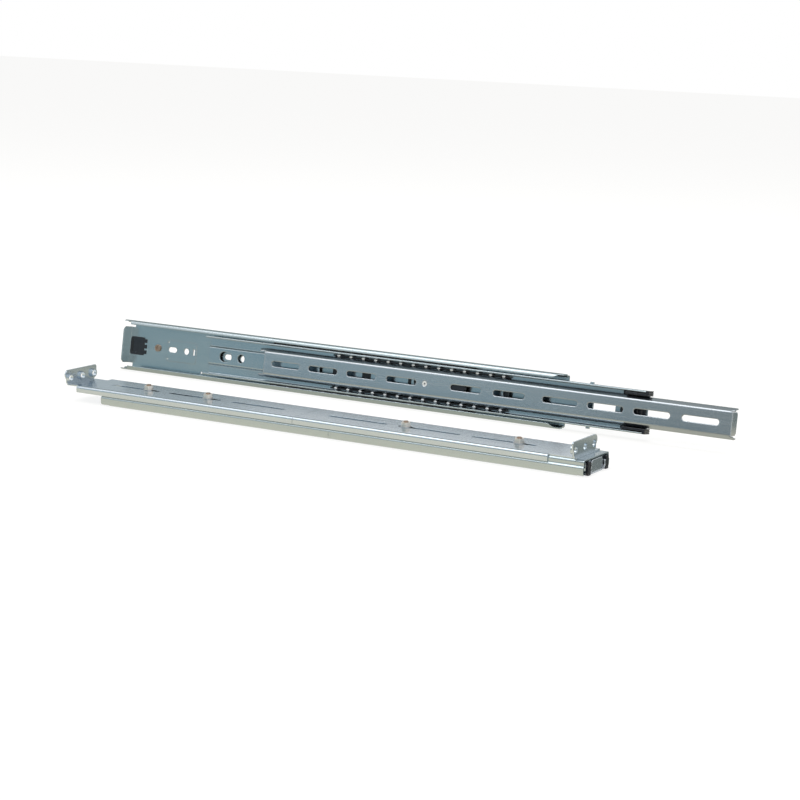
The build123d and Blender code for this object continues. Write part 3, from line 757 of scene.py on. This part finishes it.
# The far cards and the one above them meet along this line.
FAR_Y = 1.9
FAR_TOP = 0.80
ABOVE_REACH = 3.0
ABOVE_NEAR = 0.5
ABOVE_TOP = 2.6
BETWEEN_TINT = (0.64, 0.62, 0.51)
CARDS = (
    Card("card_behind_camera", (0.32, 0.46, 0.52),
         upright(west=-5.0, east=FRONT_END_WEST, away=BACKDROP_Y, low=0.0, high=BACKDROP_TOP)),
    Card("card_in_front", (1.0, 0.92, 0.75),
         level(west=-1.6, east=1.2, near=-2.4, far=-0.080)),
    Card("card_at_back", (0.26, 0.30, 0.29),
         level(west=-2.4, east=1.6, near=RIGHT_RAIL_FAR, far=FAR_Y)),
    Card("card_behind_front_end", (0.20, 0.25, 0.27),
         upright(west=FRONT_END_WEST, east=FRONT_END_EAST, away=BACKDROP_Y, low=0.0, high=BACKDROP_TOP)),
    Card("card_behind_right", (0.95, 0.97, 0.93),
         upright(west=FRONT_END_EAST, east=2.5, away=BACKDROP_Y, low=0.0, high=BACKDROP_TOP)),
    Card("card_beside", (0.26, 0.29, 0.27),
         level(west=LEFT_RAIL_FRONT, east=1.6, near=-0.0795, far=RIGHT_RAIL_NEAR)),
    Card("card_between", BETWEEN_TINT,
         level(west=-1.2, east=LEFT_RAIL_FRONT, near=-0.036, far=RIGHT_RAIL_NEAR)),
    Card("card_under_right", BETWEEN_TINT,
         level(west=-1.2, east=1.6, near=RIGHT_RAIL_NEAR, far=RIGHT_RAIL_FAR)),
    Card("card_far_left", (0.56, 0.62, 0.64),
         upright(west=-3.0, east=-1.40, away=FAR_Y, low=0.12, high=FAR_TOP)),
    Card("card_above", (0.34, 0.37, 0.36), [
        (-ABOVE_REACH, FAR_Y, FAR_TOP),
        (ABOVE_REACH, FAR_Y, FAR_TOP),
        (ABOVE_REACH, ABOVE_NEAR, ABOVE_TOP),
        (-ABOVE_REACH, ABOVE_NEAR, ABOVE_TOP),
    ]),
)


@dataclass
class Studio:
    """The floor, the lights, the cards that the metal reflects, and the camera.

    Attributes:
        camera_place: Where the camera stands.
        azimuth: Its heading from +Y towards +X, in degrees.
        elevation: How far it looks up, in degrees.
        roll: How far it is turned about its own axis, in degrees.
        lens: Its focal length, in millimetres.
        sensor_width: Its sensor's width, in millimetres.
        clip: The nearest and farthest distance it sees, in metres.
        paper: The floor's colour as a light-catching surface.
        paper_glow: How much of the floor's white the camera sees.
        paper_strength: How bright that white is.
        floor_reach: How far the floor runs from the middle, in metres.
        sky_fill: The sky's strength as a light; the camera and the metal see it at 1.
    """

    camera_place: Point
    azimuth: float
    elevation: float
    roll: float
    lens: float
    sensor_width: float = 36.0
    clip: tuple[float, float] = (0.05, 30.0)
    paper: Colour = (0.90, 0.885, 0.85)
    paper_glow: float = 0.62
    paper_strength: float = 1.25
    floor_reach: float = 6.0
    sky_fill: float = 0.50

    def lights(self) -> None:
        """Hangs the lamps."""
        target = Vector(LAMP_TARGET)
        for lamp in LAMPS:
            data = bpy.data.lights.new(lamp.name, "AREA")
            data.shape = "RECTANGLE"
            data.size, data.size_y = lamp.size
            data.energy = lamp.power
            data.color = lamp.tint
            light = bpy.data.objects.new(lamp.name, data)
            place = Vector(lamp.place)
            light.location = place
            light.rotation_euler = (target - place).to_track_quat("-Z", "Y").to_euler()
            light.visible_glossy = lamp.mirrored
            bpy.context.scene.collection.objects.link(light)

    def sky(self) -> None:
        """Makes the world white for the camera and for reflections, and softer as a light."""
        world = bpy.data.worlds.new("studio")
        bpy.context.scene.world = world
        world.use_nodes = True
        nodes, links = world.node_tree.nodes, world.node_tree.links
        nodes.clear()
        rays = nodes.new("ShaderNodeLightPath")
        seen = rays.outputs["Is Camera Ray"]
        for kind in ("Is Glossy Ray", "Is Transmission Ray"):
            either = nodes.new("ShaderNodeMath")
            either.operation = "MAXIMUM"
            links.new(seen, either.inputs[0])
            links.new(rays.outputs[kind], either.inputs[1])
            seen = either.outputs[0]
        strength = nodes.new("ShaderNodeMapRange")
        strength.inputs["To Min"].default_value = self.sky_fill
        strength.inputs["To Max"].default_value = 1.0
        links.new(seen, strength.inputs["Value"])
        sky = nodes.new("ShaderNodeBackground")
        sky.inputs["Color"].default_value = rgba(*WHITE)
        links.new(strength.outputs[0], sky.inputs["Strength"])
        leave = nodes.new("ShaderNodeOutputWorld")
        links.new(sky.outputs[0], leave.inputs["Surface"])

    def _sheet(self, name: str, corners: Sequence[Point], material: bpy.types.Material) -> bpy.types.Object:
        """Adds one flat staging sheet.

        Args:
            name: The sheet's name.
            corners: Its four corners, in metres.
            material: Its material.

        Returns:
            The sheet.
        """
        mesh = bpy.data.meshes.new(name)
        mesh.from_pydata(corners, [], [(0, 1, 2, 3)])
        mesh.materials.append(material)
        sheet = bpy.data.objects.new(name, mesh)
        bpy.context.scene.collection.objects.link(sheet)
        return sheet

    @staticmethod
    def _seen_directly(tree: ShaderTree) -> Wrap:
        """Tells what is seen from what only lights.

        Args:
            tree: The tree that the nodes go into.

        Returns:
            1 for the camera's rays and for what metal and clear pieces show, and 0 for light.
        """
        seen = tree.add("ShaderNodeLightPath", output="Is Camera Ray")
        for kind in ("Is Glossy Ray", "Is Transmission Ray"):
            seen = seen + tree.add("ShaderNodeLightPath", output=kind)
        return seen.clamp()

    def floor(self) -> None:
        """Lays the pale floor; the camera sees it white, with the rails' soft shadows."""
        tree = ShaderTree("floor_paper")
        paper = tree.add("ShaderNodeBsdfDiffuse", inputs={"Color": rgba(*self.paper)})
        white = {"Color": rgba(*WHITE), "Strength": self.paper_strength}
        glow = tree.add("ShaderNodeEmission", inputs=white)
        share = self._seen_directly(tree) * self.paper_glow
        mixed = tree.add("ShaderNodeMixShader", inputs={0: share, 1: paper, 2: glow})
        tree.add("ShaderNodeOutputMaterial", inputs={"Surface": mixed})
        reach = self.floor_reach
        corners = [(-reach, -reach, 0.0), (reach, -reach, 0.0), (reach, reach, 0.0), (-reach, reach, 0.0)]
        self._sheet("floor", corners, tree.material)

    def cards(self) -> None:
        """Sets the coloured cards round the rails."""
        for card in CARDS:
            tree = ShaderTree(card.name)
            cloth = tree.add("ShaderNodeEmission", inputs={"Color": rgba(*card.tint), "Strength": 1.0})
            tree.add("ShaderNodeOutputMaterial", inputs={"Surface": cloth})
            sheet = self._sheet(card.name, card.corners, tree.material)
            sheet.visible_camera = False
            sheet.visible_diffuse = False
            sheet.visible_transmission = False
            sheet.visible_shadow = False

    def camera(self) -> None:
        """Sets the camera at the photograph's place and angle."""
        data = bpy.data.cameras.new("camera")
        data.sensor_fit = "HORIZONTAL"
        data.sensor_width = self.sensor_width
        data.lens = self.lens
        data.clip_start, data.clip_end = self.clip
        camera = bpy.data.objects.new("camera", data)
        turn, rise, roll = (math.radians(v) for v in (self.azimuth, self.elevation, self.roll))
        ahead = Vector((math.cos(rise) * math.sin(turn), math.cos(rise) * math.cos(turn), math.sin(rise)))
        across = ahead.cross(Vector((0.0, 0.0, 1.0))).normalized()
        overhead = across.cross(ahead)
        right = across * math.cos(roll) + overhead * math.sin(roll)
        up = right.cross(ahead)
        turned = Matrix((right, up, -ahead)).transposed()
        camera.matrix_world = Matrix.Translation(Vector(self.camera_place)) @ turned.to_4x4()
        bpy.context.scene.collection.objects.link(camera)
        bpy.context.scene.camera = camera


def main() -> None:
    """Builds the whole scene, piece by piece."""
    logging.basicConfig(level=logging.INFO, format="%(name)s: %(message)s")
    for leftover in list(bpy.data.objects):
        bpy.data.objects.remove(leftover)
    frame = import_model()
    nodes = frame["nodes"]
    scene = bpy.context.scene
    scene.view_settings.view_transform = "Standard"
    studio = Studio(
        camera_place=(0.92517, -1.53710, 0.35619),
        azimuth=-30.02,
        elevation=-10.67,
        roll=1.673,
        lens=99.2,
    )
    studio.camera()
    studio.lights()
    studio.sky()
    studio.floor()
    studio.cards()
    finishes = Finishes()
    for rail in Rail:
        RailDress(rail, nodes, finishes).dress()
        for kind, body, count, radius in BALL_SETS:
            rows = BallRows(rail, nodes, kind, rail.value + body, count, BALL_PITCH, radius, finishes)
            rows.build()


if __name__ == "__main__":
    main()
